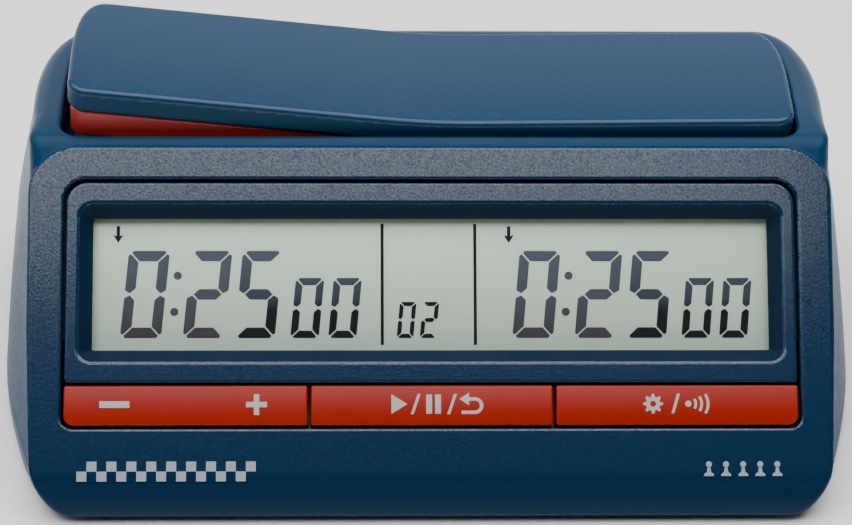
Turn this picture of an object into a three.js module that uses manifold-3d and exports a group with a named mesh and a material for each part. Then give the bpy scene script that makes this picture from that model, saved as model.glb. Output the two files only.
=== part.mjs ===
// Digital chess clock with a rocking move lever, a wide display and three front keys.
// Millimetres, +X right, +Y to the back, +Z up; origin at the centre of the footprint, on the table.

import * as THREE from 'three';
import { mergeVertices } from 'three/addons/utils/BufferGeometryUtils.js';
import Module from 'manifold-3d';

const wasm = await Module();
wasm.setup();

// ---------------------------------------------------------------- driving dimensions

const DEG = Math.PI / 180;

// Case
const FOOT_HEIGHT = 1.6;          // the case stands this far above the table
const CASE_TOP = 51.3;
const CASE_FRONT = -47;
const CASE_BACK = 47;
const BACK_LEAN = 4;              // how far the back wall leans forward by the top
const FACE_FOOT_Z = 6;            // a point on the sloping face, where its own frame starts
const FACE_FOOT_Y = -46.5;
const FACE_ANGLE = 42 * DEG;
const PANEL_HALF = 75.2;          // half width of the sloping face
const FLARE = 7.8;                // how far the sides swell beyond the face at the base
const FLARE_LENGTH = 40;
const CREASE = 1;                 // edge radius between the face and the sides
const LOW_CORNER = 8.4;           // the crease opens to this plan radius at the base
const LOW_CORNER_TOP = 8.5;
const BACK_CORNER_X = 12;
const BACK_CORNER_Y = 25;
const BACK_CORNER_POWER = 2.4;
const EDGE = 1.2;                 // chamfer round the top and bottom edges
const WALL = 2.2;
const FLOOR = 2.2;                // base cover thickness

// Face opening, insert and keys, in the face's own frame: across, up the slope, outward
const OPENING = { half: 69.6, low: 13.35, high: 60.85 };
const INSERT = { half: 68.6, low: 22.3, high: 60.1, depth: 3.2 };
const WINDOW = { half: 66.3, low: 25.86, high: 56.06, draft: 2.6, depth: 2.9 };
const KEY = { low: 13.95, high: 21.44, proud: 0.5, gap: 0.6, split: 22.9 };
const LENS = { half: 65.2, low: 27.4, high: 54.8, top: -3.5, thick: 0.9 };
const GLASS_TOP = -4.7;
const GLASS_THICK = 1.8;
const BOARD = { half: 63.5, low: 9, high: 59.5, top: -8, thick: 1.6 };
const BOARD_SCREWS = [[-50, 24.1], [50, 24.1], [-50, 58.1], [0, 58.1], [50, 58.1]];

// Lever
const POCKET = { half: 70.2, front: 6.2, back: 38.9, floor: 42.3, wall: 1.6 };
const LEVER = { half: 69.2, front: 7.3, back: 37.7, top: 53.3, lip: 5, wall: 2 };
const SKIRT = { inset: 0.5, wall: 1.6, depth: 11, flange: 5, deckInset: 3.1 };
const LEVER_CORNER = { front: 3, x: 7, y: 20, power: 2.9 };
const LEVER_RISE = 3.6 * DEG;     // each arm rises this much from the middle
const LEVER_TILT = 2.94 * DEG;    // left arm up at rest
const PIVOT_Z = 46;
const PIN_RADIUS = 1.5;
const FORK_Z = 29.6;              // bottom of the fork that carries the switch knob
const KNOB_HALF = 1;
const MID_Y = (LEVER.front + LEVER.back) / 2;
const LEVER_SCREW_X = 30;

// Battery tub
const TUB = { half: 30, front: 7.7, back: 38.5, roof: 19.8, wall: 1.6 };
const CELL_RADIUS = 7.1;
const CELL_LENGTH = 50.5;
const CELL_Z = 12.2;
const CELL_Y = [15.4, 30.8];
const DOOR = { half: 28.2, tongue: 30.4, front: 7.7, bottom: 1.7, top: 3.7 };

// Fasteners, feet and switches
const FRONT_SCREW = { boss: 2.8, foot: 4.1, pilotTop: 8.2, head: 1.9, reach: 4.5, tower: 0 };
const BACK_SCREW = { boss: 3.2, foot: 12, pilotTop: 22.5, head: 4.6, reach: 14, tower: 11.6 };
const CASE_SCREWS = [
  { x: -64, y: -40.5, ...FRONT_SCREW },
  { x: 64, y: -40.5, ...FRONT_SCREW },
  { x: -70, y: 34, ...BACK_SCREW },
  { x: 70, y: 34, ...BACK_SCREW },
];
const FEET = [[-50, -39], [50, -39], [-56, 38], [56, 38]];
const SWITCH_BOARD = { half: 17, front: 12, back: 29, bottom: 23, thick: 1.6 };
const POWER_X = -50;
const POWER_Y = 4;

// ---------------------------------------------------------------- materials

const FINISHES = {
  shellBlue: [0x14375a, 0.32, 0],
  panelBlue: [0x143450, 0.55, 0],
  leverBlue: [0x1d4566, 0.28, 0],
  red: [0xb02a16, 0.4, 0],
  black: [0x16181b, 0.5, 0],
  rubber: [0x1b1b1c, 0.9, 0],
  silicone: [0xb9bcb8, 0.7, 0],
  glass: [0xd8e2de, 0.05, 0],
  display: [0xa9b8a8, 0.3, 0],
  steel: [0xa8abad, 0.35, 1],
  board: [0x1d5b33, 0.5, 0],
  cell: [0x3c6e9f, 0.4, 0.2],
  leadRed: [0xa01818, 0.6, 0],
  white: [0xd9d9d4, 0.5, 0],
};

function finish(name) {
  const [color, roughness, metalness] = FINISHES[name];
  return new THREE.MeshStandardMaterial({ color, roughness, metalness });
}

// ---------------------------------------------------------------- solids

function solid(geometry) {
  const plain = geometry.index ? geometry.toNonIndexed() : geometry.clone();
  plain.deleteAttribute('normal');
  plain.deleteAttribute('uv');
  const merged = mergeVertices(plain, 1e-4);
  return new wasm.Manifold(new wasm.Mesh({
    numProp: 3,
    vertProperties: merged.attributes.position.array,
    triVerts: Uint32Array.from(merged.index.array),
  }));
}

function geometryOf(body) {
  const mesh = body.getMesh();
  const positions = new Float32Array(mesh.numVert * 3);
  for (let i = 0; i < mesh.numVert; i += 1) {
    for (let k = 0; k < 3; k += 1) positions[3 * i + k] = mesh.vertProperties[mesh.numProp * i + k];
  }
  const geometry = new THREE.BufferGeometry();
  geometry.setAttribute('position', new THREE.BufferAttribute(positions, 3));
  geometry.setIndex(Array.from(mesh.triVerts));
  geometry.computeVertexNormals();
  return geometry;
}

function join(...bodies) {
  return bodies.reduce((sum, body) => sum.add(body));
}

function cut(body, ...tools) {
  return tools.reduce((rest, tool) => rest.subtract(tool), body);
}

function block(x0, x1, y0, y1, z0, z1) {
  const box = new THREE.BoxGeometry(x1 - x0, y1 - y0, z1 - z0);
  return solid(box.translate((x0 + x1) / 2, (y0 + y1) / 2, (z0 + z1) / 2));
}

function postZ(radius, x, y, z0, z1, sides = 20) {
  const rod = new THREE.CylinderGeometry(radius, radius, z1 - z0, sides);
  return solid(rod.rotateX(Math.PI / 2).translate(x, y, (z0 + z1) / 2));
}

function rodX(radius, x0, x1, y, z, sides = 24) {
  const rod = new THREE.CylinderGeometry(radius, radius, x1 - x0, sides);
  return solid(rod.rotateZ(Math.PI / 2).translate((x0 + x1) / 2, y, z));
}

function rodY(radius, x, y0, y1, z, sides = 16) {
  return solid(new THREE.CylinderGeometry(radius, radius, y1 - y0, sides).translate(x, (y0 + y1) / 2, z));
}

function roundedRect(x0, x1, y0, y1, rLow, rHigh = rLow) {
  const shape = new THREE.Shape();
  shape.absarc(x1 - rLow, y0 + rLow, rLow, -Math.PI / 2, 0);
  shape.absarc(x1 - rHigh, y1 - rHigh, rHigh, 0, Math.PI / 2);
  shape.absarc(x0 + rHigh, y1 - rHigh, rHigh, Math.PI / 2, Math.PI);
  shape.absarc(x0 + rLow, y0 + rLow, rLow, Math.PI, 1.5 * Math.PI);
  shape.closePath();
  return shape;
}

// A plan with round front corners and long, bowed back corners.
function bowedPlan(half, front, back, inset) {
  const { x: cornerX, y: cornerY, power } = LEVER_CORNER;
  const radius = Math.max(LEVER_CORNER.front - inset, 0.8);
  const [reachX, reachY] = [cornerX - inset, cornerY - inset];
  const [side, y0, y1] = [half - inset, front + inset, back - inset];
  const right = [];
  const arcSteps = 4;
  for (let i = 0; i <= arcSteps; i += 1) {
    const turn = (i / arcSteps) * Math.PI / 2;
    right.push([side - radius * (1 - Math.sin(turn)), y0 + radius * (1 - Math.cos(turn))]);
  }
  const bowSteps = 8;
  for (let i = 0; i <= bowSteps; i += 1) {
    const turn = (i / bowSteps) * Math.PI / 2;
    const x = side - reachX * (1 - Math.cos(turn) ** (2 / power));
    right.push([x, y1 - reachY * (1 - Math.sin(turn) ** (2 / power))]);
  }
  const left = right.map(([x, y]) => [-x, y]).reverse();
  return new THREE.Shape([...right, ...left].map(([x, y]) => new THREE.Vector2(x, y)));
}

function slab(shape, z0, z1, curveSegments = 5) {
  const geometry = new THREE.ExtrudeGeometry(shape, { depth: z1 - z0, bevelEnabled: false, curveSegments });
  return solid(geometry.translate(0, 0, z0));
}

// A closed body through rings of equal length, each a list of [x, y] at one height.
function loft(rings) {
  const count = rings[0].points.length;
  const positions = [];
  const faces = [];
  for (const ring of rings) {
    for (const [x, y] of ring.points) positions.push(x, y, ring.z);
  }
  for (let level = 0; level + 1 < rings.length; level += 1) {
    for (let i = 0; i < count; i += 1) {
      const a = level * count + i;
      const b = level * count + (i + 1) % count;
      faces.push(a, b, b + count, a, b + count, a + count);
    }
  }
  const cap = ({ points }) => (
    THREE.ShapeUtils.triangulateShape(points.map(([x, y]) => new THREE.Vector2(x, y)), [])
  );
  for (const [i, j, k] of cap(rings[0])) faces.push(k, j, i);
  const last = (rings.length - 1) * count;
  for (const [i, j, k] of cap(rings.at(-1))) faces.push(last + i, last + j, last + k);
  const geometry = new THREE.BufferGeometry();
  geometry.setAttribute('position', new THREE.Float32BufferAttribute(positions, 3));
  geometry.setIndex(faces);
  return solid(geometry);
}

function wire(points, radius, sides = 8, steps = 24) {
  const path = new THREE.CatmullRomCurve3(points.map((p) => new THREE.Vector3(...p)));
  const section = new THREE.Shape();
  section.absarc(0, 0, radius, 0, 2 * Math.PI);
  return new THREE.ExtrudeGeometry(section, {
    steps, extrudePath: path, curveSegments: sides, bevelEnabled: false,
  });
}

// ---------------------------------------------------------------- nodes

const clock = new THREE.Group();

const face = new THREE.Group();
face.position.set(0, FACE_FOOT_Y, FACE_FOOT_Z);
face.rotation.x = FACE_ANGLE;
clock.add(face);

const lever = new THREE.Group();
lever.position.set(0, 0, PIVOT_Z);
lever.rotation.y = LEVER_TILT;
clock.add(lever);

function add(parent, name, body, finishName) {
  const geometry = body.isBufferGeometry ? body : geometryOf(body);
  const mesh = new THREE.Mesh(geometry, finish(finishName));
  mesh.name = name;
  parent.add(mesh);
}

// ---------------------------------------------------------------- case outline

function frontAt(z) {
  return Math.max(CASE_FRONT, FACE_FOOT_Y + (z - FACE_FOOT_Z) / Math.tan(FACE_ANGLE));
}

function backAt(z) {
  return CASE_BACK - BACK_LEAN * Math.max(0, z - FACE_FOOT_Z) / (CASE_TOP - FACE_FOOT_Z);
}

function frontCornerAt(z) {
  const low = Math.max(0, (LOW_CORNER_TOP - z) / (LOW_CORNER_TOP - FOOT_HEIGHT));
  return CREASE + (LOW_CORNER - CREASE) * Math.min(1, low) ** 1.3;
}

function sideAt(y, z) {
  const along = THREE.MathUtils.clamp((y - frontAt(z) - 8) / FLARE_LENGTH, 0, 1);
  return PANEL_HALF + FLARE * (1 - (z / CASE_TOP) ** 1.5) * Math.sin(along * Math.PI / 2);
}

// The plan outline at one height: rounded front corners, swelling sides, soft back corners.
function caseRing(z, inset = 0, faceInset = inset) {
  const front = frontAt(z) + faceInset;
  const back = backAt(z) - inset;
  const radius = frontCornerAt(z);
  const corner = Math.max(radius - inset, 0.3);
  const half = [];
  const arcSteps = 4;
  for (let i = 0; i <= arcSteps; i += 1) {
    const turn = (i / arcSteps) * Math.PI / 2;
    half.push([PANEL_HALF - inset - corner * (1 - Math.sin(turn)), front + corner * (1 - Math.cos(turn))]);
  }
  const cornerFront = backAt(z) - BACK_CORNER_Y;
  const sideStart = front + corner + 0.4;
  const sideSteps = 5;
  for (let i = 1; i < sideSteps; i += 1) {
    const y = sideStart + (cornerFront - sideStart) * (i / sideSteps);
    half.push([sideAt(y, z) - inset, y]);
  }
  const cornerX = sideAt(cornerFront, z) - BACK_CORNER_X;
  const cornerSteps = 8;
  for (let i = 0; i <= cornerSteps; i += 1) {
    const turn = (i / cornerSteps) * Math.PI / 2;
    const x = cornerX + (BACK_CORNER_X - inset) * Math.cos(turn) ** (2 / BACK_CORNER_POWER);
    half.push([x, cornerFront + (back - cornerFront) * Math.sin(turn) ** (2 / BACK_CORNER_POWER)]);
  }
  return { z, points: [...half, ...half.map(([x, y]) => [-x, y]).reverse()] };
}

function caseBody() {
  const lipTop = FACE_FOOT_Z - (FACE_FOOT_Y - CASE_FRONT) * Math.tan(FACE_ANGLE);
  const heights = [FOOT_HEIGHT + EDGE, 4.2, lipTop, 7, LOW_CORNER_TOP, 14, 22, 30, 38, 44, CASE_TOP - EDGE];
  const rings = heights.map((z) => caseRing(z));
  return loft([caseRing(FOOT_HEIGHT, EDGE), ...rings, caseRing(CASE_TOP, EDGE, 0)]);
}

function caseHollow() {
  const slopeInset = WALL / Math.sin(FACE_ANGLE);
  const heights = [FACE_FOOT_Z + 1, 14, 22, 30, 38, CASE_TOP - WALL];
  const rings = heights.map((z) => caseRing(z, WALL, slopeInset));
  return loft([caseRing(0, WALL, WALL + 0.5), caseRing(FACE_FOOT_Z - 2, WALL, WALL + 0.5), ...rings]);
}

// Turns a tool made in the face's own frame into the case's frame.
function onFace(body) {
  const geometry = geometryOf(body);
  geometry.rotateX(FACE_ANGLE).translate(0, FACE_FOOT_Y, FACE_FOOT_Z);
  return solid(geometry);
}

// ---------------------------------------------------------------- top housing

function topHousing() {
  const outer = caseBody();
  const { half, front, back, floor, wall } = POCKET;
  const pocketWalls = slab(bowedPlan(half, front, back, -wall), floor - wall, CASE_TOP - 1);
  let body = join(cut(outer, caseHollow()), pocketWalls.intersect(outer));
  for (const { x, y, boss, foot } of CASE_SCREWS) {
    body = body.add(postZ(boss, x, y, foot, POCKET.floor).intersect(outer));
  }
  body = cut(
    body,
    slab(bowedPlan(half, front, back, 0), floor, CASE_TOP + 5),
    block(-9, 9, MID_Y - 7, MID_Y + 7, floor - wall - 1, floor + 1),
    rodY(PIN_RADIUS + 0.2, 0, front - 1.2, back + wall + 1, PIVOT_Z),
    onFace(slab(roundedRect(-OPENING.half, OPENING.half, OPENING.low, OPENING.high, 2, 4), -6, 4)),
    block(-DOOR.tongue - 0.6, DOOR.tongue + 0.6, 35, CASE_BACK + 1, 0, DOOR.top + 0.6),
  );
  for (const { x, y, foot, pilotTop } of CASE_SCREWS) {
    body = body.subtract(postZ(1.5, x, y, foot - 1, pilotTop, 12));
  }
  return body;
}

add(clock, 'top_housing', topHousing(), 'shellBlue');

// ---------------------------------------------------------------- base cover, door and feet

function baseCover() {
  const gap = 0.35;
  const top = FOOT_HEIGHT + FLOOR;
  const rim = WALL + gap;
  const floor = loft([
    caseRing(FOOT_HEIGHT, rim, rim + 0.5), caseRing(top, rim, rim + 0.5),
  ]);
  const { half, front, back, roof, wall } = TUB;
  let body = join(
    floor,
    block(-half - wall, half + wall, front - wall, back + wall, top - 1, roof + wall),
  );
  for (const { x, y, tower } of CASE_SCREWS) {
    if (tower) body = body.add(postZ(3.6, x, y, top - 1, tower));
  }
  for (const side of [-1, 1]) body = body.add(postZ(2.6, side * 13, 17, roof + 1, 22.6));
  for (const side of [-1, 1]) body = body.add(postZ(2, POWER_X + side * 11, POWER_Y, top - 1, 6.6));
  body = cut(
    body,
    block(-half, half, front, back, DOOR.top + 0.3, roof),
    block(-DOOR.tongue - 0.3, DOOR.tongue + 0.3, DOOR.front - 0.3, CASE_BACK + 1, 2.5, DOOR.top + 0.3),
    block(-DOOR.half - 0.3, DOOR.half + 0.3, DOOR.front - 0.3, CASE_BACK + 1, 0, 3),
    block(-half - wall - 1, -half + 1, 13, 17, 9, 15),
    block(-half - wall - 1, -half + 1, 28, 32, 9, 15),
    block(POWER_X - 3.4, POWER_X + 3.4, POWER_Y - 1.6, POWER_Y + 1.6, 0, top + 1),
  );
  for (const { x, y, head } of CASE_SCREWS) {
    body = cut(body, postZ(3, x, y, 0, head + 1.3), postZ(1.6, x, y, 1, 13, 12));
  }
  for (const [x, y] of FEET) body = body.subtract(postZ(5.6, x, y, 0, FOOT_HEIGHT + 0.6, 28));
  for (const side of [-1, 1]) {
    body = cut(body, postZ(0.95, side * 13, 17, roof + 0.6, 24, 12));
    body = cut(body, postZ(0.8, POWER_X + side * 11, POWER_Y, top - 0.6, 8, 12));
  }
  return body;
}

function batteryDoor() {
  const { half, tongue, front, bottom, top } = DOOR;
  let body = join(
    block(-half, half, front, CASE_BACK - 0.2, bottom, top),
    block(-tongue, tongue, front, CASE_BACK - 0.2, 2.8, top),
  );
  for (let i = 0; i < 5; i += 1) {
    const y = 13 + i * 2.4;
    body = body.add(block(-9, 9, y, y + 1.2, 1.1, bottom + 0.5));
  }
  return body;
}

add(clock, 'base_cover', baseCover(), 'panelBlue');
add(clock, 'battery_door', batteryDoor(), 'panelBlue');

FEET.forEach(([x, y], i) => {
  add(clock, `foot_${i + 1}`, postZ(5.3, x, y, 0, FOOT_HEIGHT + 0.6, 28), 'rubber');
});

// A pan-head screw standing on its head: head below, shank upward.
function screwUp(x, y, headZ, headRadius, headHeight, shankRadius, length) {
  return join(
    postZ(headRadius, x, y, headZ, headZ + headHeight, 16),
    postZ(shankRadius, x, y, headZ + headHeight - 0.2, headZ + headHeight + length, 10),
  );
}

CASE_SCREWS.forEach(({ x, y, head, reach }, i) => {
  add(clock, `housing_screw_${i + 1}`, screwUp(x, y, head, 2.6, 1.2, 1.2, reach), 'steel');
});

// ---------------------------------------------------------------- display stack on the sloping face

function displayBezel() {
  const { half, low, high, depth } = INSERT;
  const window = WINDOW;
  let body = join(
    slab(roundedRect(-half, half, low, high, 1, 4), -depth, 0),
    block(-71.2, 71.2, 30, 62.2, -depth, -2.5),
  );
  const shrink = window.draft / window.depth;
  const reach = window.depth + 1.5;
  const ring = (depthHere) => {
    const inset = Math.min(shrink * depthHere, window.draft);
    const [x, y0, y1] = [window.half - inset, window.low + inset, window.high - inset];
    return { z: -depthHere, points: [[-x, y0], [x, y0], [x, y1], [-x, y1]] };
  };
  body = body.subtract(loft([ring(reach), ring(window.depth), ring(-0.5)]));
  for (const [x, y] of BOARD_SCREWS) {
    body = body.add(postZ(1.7, x, y, BOARD.top + 0.3, -depth + 0.2, 14));
    body = body.subtract(postZ(0.95, x, y, BOARD.top, -depth + 0.4, 10));
  }
  return body;
}

function lcdFrame() {
  const rim = 0.3;
  const wall = 1;
  const { half, low, high, top } = LENS;
  const outer = roundedRect(-half - rim - wall, half + rim + wall, low - rim - wall, high + rim + wall, 0.8);
  const inner = roundedRect(-half - rim, half + rim, low - rim, high + rim, 0.3);
  return cut(slab(outer, -7.7, top, 2), slab(inner, -9, 0, 2));
}

add(face, 'display_bezel', displayBezel(), 'panelBlue');
function pane(top, thick) {
  return block(-LENS.half, LENS.half, LENS.low, LENS.high, top - thick, top);
}

add(face, 'window_lens', pane(LENS.top, LENS.thick), 'glass');
add(face, 'lcd_panel', pane(GLASS_TOP, GLASS_THICK), 'display');
add(face, 'lcd_frame', lcdFrame(), 'white');

const stripTop = GLASS_TOP - GLASS_THICK - 0.3;
add(face, 'zebra_strip_lower', block(-60, 60, 27.8, 29.8, BOARD.top + 0.3, stripTop), 'silicone');
add(face, 'zebra_strip_upper', block(-60, 60, 52.4, 54.4, BOARD.top + 0.3, stripTop), 'silicone');

function mainBoard() {
  const { half, low, high, top, thick } = BOARD;
  let body = slab(roundedRect(-half, half, low, high, 2), top - thick, top, 3);
  for (const [x, y] of BOARD_SCREWS) body = body.subtract(postZ(1.1, x, y, top - thick - 1, top + 1, 12));
  return body;
}

add(face, 'main_pcb', mainBoard(), 'board');

BOARD_SCREWS.forEach(([x, y], i) => {
  const headTop = BOARD.top - BOARD.thick - 0.3;
  add(face, `pcb_screw_${i + 1}`, screwUp(x, y, headTop - 1, 1.6, 1, 0.7, 5.6), 'steel');
});

const boardBack = BOARD.top - BOARD.thick - 0.3;
add(face, 'controller_chip', block(4, 16, 34, 46, boardBack - 1.6, boardBack), 'black');
add(face, 'quartz_crystal', rodX(1.5, 22, 30, 40, boardBack - 1.6, 14), 'steel');
add(face, 'filter_capacitor', postZ(2.5, -28, 42, boardBack - 7, boardBack, 18), 'black');
add(face, 'buzzer', postZ(7, 46, 42, boardBack - 4, boardBack, 28), 'black');

// ---------------------------------------------------------------- keys

const KEY_NAMES = ['minus_plus_key', 'play_pause_key', 'settings_sound_key'];
const KEY_EDGES = [-INSERT.half, -KEY.split, KEY.split, INSERT.half];
const KEY_CONTACTS = [[-57.5, -34.2], [-7, 7], [38.8, 53]];

KEY_NAMES.forEach((name, i) => {
  const left = KEY_EDGES[i] + (i === 0 ? 0 : KEY.gap / 2);
  const right = KEY_EDGES[i + 1] - (i === 2 ? 0 : KEY.gap / 2);
  const flangeTop = -INSERT.depth - 0.3;
  const plan = roundedRect(left, right, KEY.low, KEY.high, i === 1 ? 0.5 : 1.6, 0.5);
  let body = join(
    slab(plan, flangeTop - 0.9, KEY.proud, 3),
    block(left, right, KEY.low - 1.3, KEY.high + 0.5, flangeTop - 0.9, flangeTop),
  );
  for (const x of KEY_CONTACTS[i]) body = body.add(postZ(2, x, 17.4, -6.6, flangeTop - 0.7, 14));
  add(face, name, body, 'red');
});

function keypadMembrane() {
  let body = block(-62, 62, 12.6, 22, -7.7, -7.2);
  for (const x of KEY_CONTACTS.flat()) {
    const dome = new THREE.CylinderGeometry(2.2, 3.2, 0.5, 16).rotateX(Math.PI / 2);
    body = body.add(solid(dome.translate(x, 17.4, -7.15)));
  }
  return body;
}

add(face, 'keypad_membrane', keypadMembrane(), 'silicone');

// ---------------------------------------------------------------- lever

// Side view of a band that follows the lever's shallow V, from one depth below its top to another.
function leverBand(half, above, below, front, back) {
  const rise = Math.tan(LEVER_RISE);
  const soft = 9;
  const bend = (x) => (Math.abs(x) > soft ? Math.abs(x) : (x * x / soft + soft) / 2);
  const crown = (x) => LEVER.top - PIVOT_Z + rise * bend(x);
  const xs = [-half, -soft, -soft / 2, 0, soft / 2, soft, half];
  const shape = new THREE.Shape();
  xs.forEach((x, i) => (i ? shape.lineTo(x, crown(x) - above) : shape.moveTo(x, crown(x) - above)));
  [...xs].reverse().forEach((x) => shape.lineTo(x, crown(x) - below));
  shape.closePath();
  const geometry = new THREE.ExtrudeGeometry(shape, { depth: back - front, bevelEnabled: false });
  return solid(geometry.rotateX(Math.PI / 2).translate(0, back, 0));
}

function leverShell() {
  const { half, front, back, lip, wall } = LEVER;
  const plan = slab(bowedPlan(half, front, back, 0), -20, 40);
  const hollow = slab(bowedPlan(half, front, back, wall), -20, 40);
  let body = cut(
    leverBand(half, 0, lip, front, back).intersect(plan),
    leverBand(half, wall, lip + 3, front, back).intersect(hollow),
  );
  for (const side of [-1, 1]) {
    const post = cut(
      postZ(2.4, side * LEVER_SCREW_X, MID_Y, 6.2, 7.9, 16),
      postZ(1.1, side * LEVER_SCREW_X, MID_Y, 5.7, 7.6, 10),
    );
    body = body.add(post);
  }
  return body;
}

// An open frame that follows the lever's V: a wall of the given thickness all the way round.
function leverFrame(inset, wall, above, below) {
  const { half, front, back } = LEVER;
  const outline = (depth) => slab(bowedPlan(half, front, back, depth), -20, 40);
  return cut(
    leverBand(half, above, below, front, back).intersect(outline(inset)),
    leverBand(half, above - 1, below + 1, front, back).intersect(outline(inset + wall)),
  );
}

// The red carrier under the shell: a flush outer frame, a deck for the screws, a hub and a fork.
function leverSkirt() {
  const { half, front, back, lip } = LEVER;
  const { inset, wall, depth, flange, deckInset } = SKIRT;
  const [y0, y1] = [front + deckInset, back - deckInset];
  const deckPlan = slab(bowedPlan(half, front, back, deckInset), -20, 40);
  const hub = block(-4, 4, y0 - 1.5, y1 + 1.5, -2.8, 2.3);
  const leg = block(-4, 4, MID_Y - 2, MID_Y + 2, FORK_Z - PIVOT_Z, -2);
  const slot = KNOB_HALF + 0.3;
  let body = join(
    leverFrame(inset, wall, lip + 0.3, depth),
    leverFrame(inset, flange, lip + 0.3, lip + 1.7),
    leverBand(half - deckInset, lip - 1.4, lip + 0.9, y0, y1).intersect(deckPlan),
    hub,
    leg,
  );
  body = cut(
    body,
    rodY(PIN_RADIUS + 0.3, 0, 0, 45, 0),
    block(-slot, slot, MID_Y - 5, MID_Y + 5, FORK_Z - PIVOT_Z - 1, FORK_Z - PIVOT_Z + 3.4),
  );
  for (const end of [-1, 1]) body = body.subtract(postZ(1.2, end * LEVER_SCREW_X, MID_Y, 0, 12, 12));
  return body;
}

add(lever, 'rocker_shell', leverShell(), 'leverBlue');
add(lever, 'rocker_skirt', leverSkirt(), 'red');
[-1, 1].forEach((side, i) => {
  add(lever, `rocker_screw_${i + 1}`, screwUp(side * LEVER_SCREW_X, MID_Y, 1.8, 1.9, 1.2, 0.8, 3.9), 'steel');
});

const pinEnds = [POCKET.front - 0.9, POCKET.back + POCKET.wall - 0.2];
add(clock, 'pivot_pin', rodY(PIN_RADIUS, 0, ...pinEnds, PIVOT_Z), 'steel');

// ---------------------------------------------------------------- lever switch

const boardTop = SWITCH_BOARD.bottom + SWITCH_BOARD.thick;

function switchBoard() {
  const { half, front, back, bottom } = SWITCH_BOARD;
  let body = block(-half, half, front, back, bottom, boardTop);
  for (const side of [-1, 1]) body = body.subtract(postZ(1.2, side * 13, 17, bottom - 1, boardTop + 1, 12));
  return body;
}

function screwDown(x, y, headZ, headRadius, headHeight, shankRadius, length) {
  return join(
    postZ(headRadius, x, y, headZ - headHeight, headZ, 16),
    postZ(shankRadius, x, y, headZ - headHeight - length, headZ - headHeight + 0.2, 10),
  );
}

function slideSwitch(length, width, bottom, top, slotHalf) {
  return cut(
    block(-length / 2, length / 2, -width / 2, width / 2, bottom, top),
    block(-slotHalf, slotHalf, -1.3, 1.3, top - 1.6, top + 1),
  );
}

const switchTop = boardTop + 3.4;
const leverSwitch = geometryOf(slideSwitch(10, 5.4, boardTop + 0.1, switchTop, 2.6)).translate(0, MID_Y, 0);
const knobRest = -(PIVOT_Z - FORK_Z - 1.2) * Math.sin(LEVER_TILT);
const knob = block(
  knobRest - KNOB_HALF, knobRest + KNOB_HALF, MID_Y - 1, MID_Y + 1, switchTop - 1.4, FORK_Z + 2.2,
);
add(clock, 'switch_board', switchBoard(), 'board');
add(clock, 'rocker_switch_body', leverSwitch, 'steel');
add(clock, 'rocker_switch_knob', knob, 'white');
[-1, 1].forEach((side, i) => {
  add(clock, `board_screw_${i + 1}`, screwDown(side * 13, 17, boardTop + 1.3, 1.8, 1.2, 0.75, 3.6), 'steel');
});

// ---------------------------------------------------------------- power switch on the underside

function powerSwitch() {
  const [low, high] = [FOOT_HEIGHT + FLOOR + 0.1, FOOT_HEIGHT + FLOOR + 4.6];
  let body = join(
    block(POWER_X - 7, POWER_X + 7, POWER_Y - 3.6, POWER_Y + 3.6, low, high),
    block(POWER_X - 13, POWER_X + 13, POWER_Y - 2.4, POWER_Y + 2.4, 6.7, 7.5),
  );
  body = body.subtract(block(POWER_X - 3.6, POWER_X + 3.6, POWER_Y - 1.7, POWER_Y + 1.7, 0, low + 2));
  for (const side of [-1, 1]) body = body.subtract(postZ(1, POWER_X + side * 11, POWER_Y, 6, 9, 12));
  return body;
}

add(clock, 'power_switch_body', powerSwitch(), 'steel');
const powerKnob = block(POWER_X - 3.1, POWER_X + 0.3, POWER_Y - 1.3, POWER_Y + 1.3, 0.9, 5.4);
add(clock, 'power_switch_knob', powerKnob, 'black');
[-1, 1].forEach((side, i) => {
  const x = POWER_X + side * 11;
  add(clock, `power_screw_${i + 1}`, screwDown(x, POWER_Y, 8.7, 1.5, 1.1, 0.6, 3.4), 'steel');
});

// ---------------------------------------------------------------- batteries and contacts

CELL_Y.forEach((y, i) => {
  const flip = i === 0 ? 1 : -1;
  const [length, nub] = [CELL_LENGTH, 1.2];
  const profile = [[0, 0], [CELL_RADIUS - 0.4, 0], [CELL_RADIUS, 0.4], [CELL_RADIUS, length - nub - 0.5],
    [CELL_RADIUS - 0.5, length - nub], [2.6, length - nub], [2.6, length], [0, length]];
  const cell = new THREE.LatheGeometry(profile.map(([r, h]) => new THREE.Vector2(r, h)), 28);
  cell.translate(0, -length / 2, 0).rotateZ(-flip * Math.PI / 2).translate(flip * -0.5, y, CELL_Z);
  add(clock, `battery_${i + 1}`, solid(cell), 'cell');
});

// A coil spring on the X axis, starting in a plate and narrowing towards its free end.
function coil(x0, length, y, direction) {
  const turns = 3;
  const steps = 36;
  const points = [];
  for (let i = 0; i <= steps; i += 1) {
    const t = i / steps;
    const turn = turns * 2 * Math.PI * t;
    const radius = 4.6 - 1.8 * t;
    points.push([x0 + direction * length * t, y + radius * Math.cos(turn), CELL_Z + radius * Math.sin(turn)]);
  }
  return solid(wire(points, 0.35, 3, steps));
}

function contactPlate(x0, x1, y0, y1) {
  return block(x0, x1, y0, y1, CELL_Z - 5, CELL_Z + 5);
}

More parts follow.
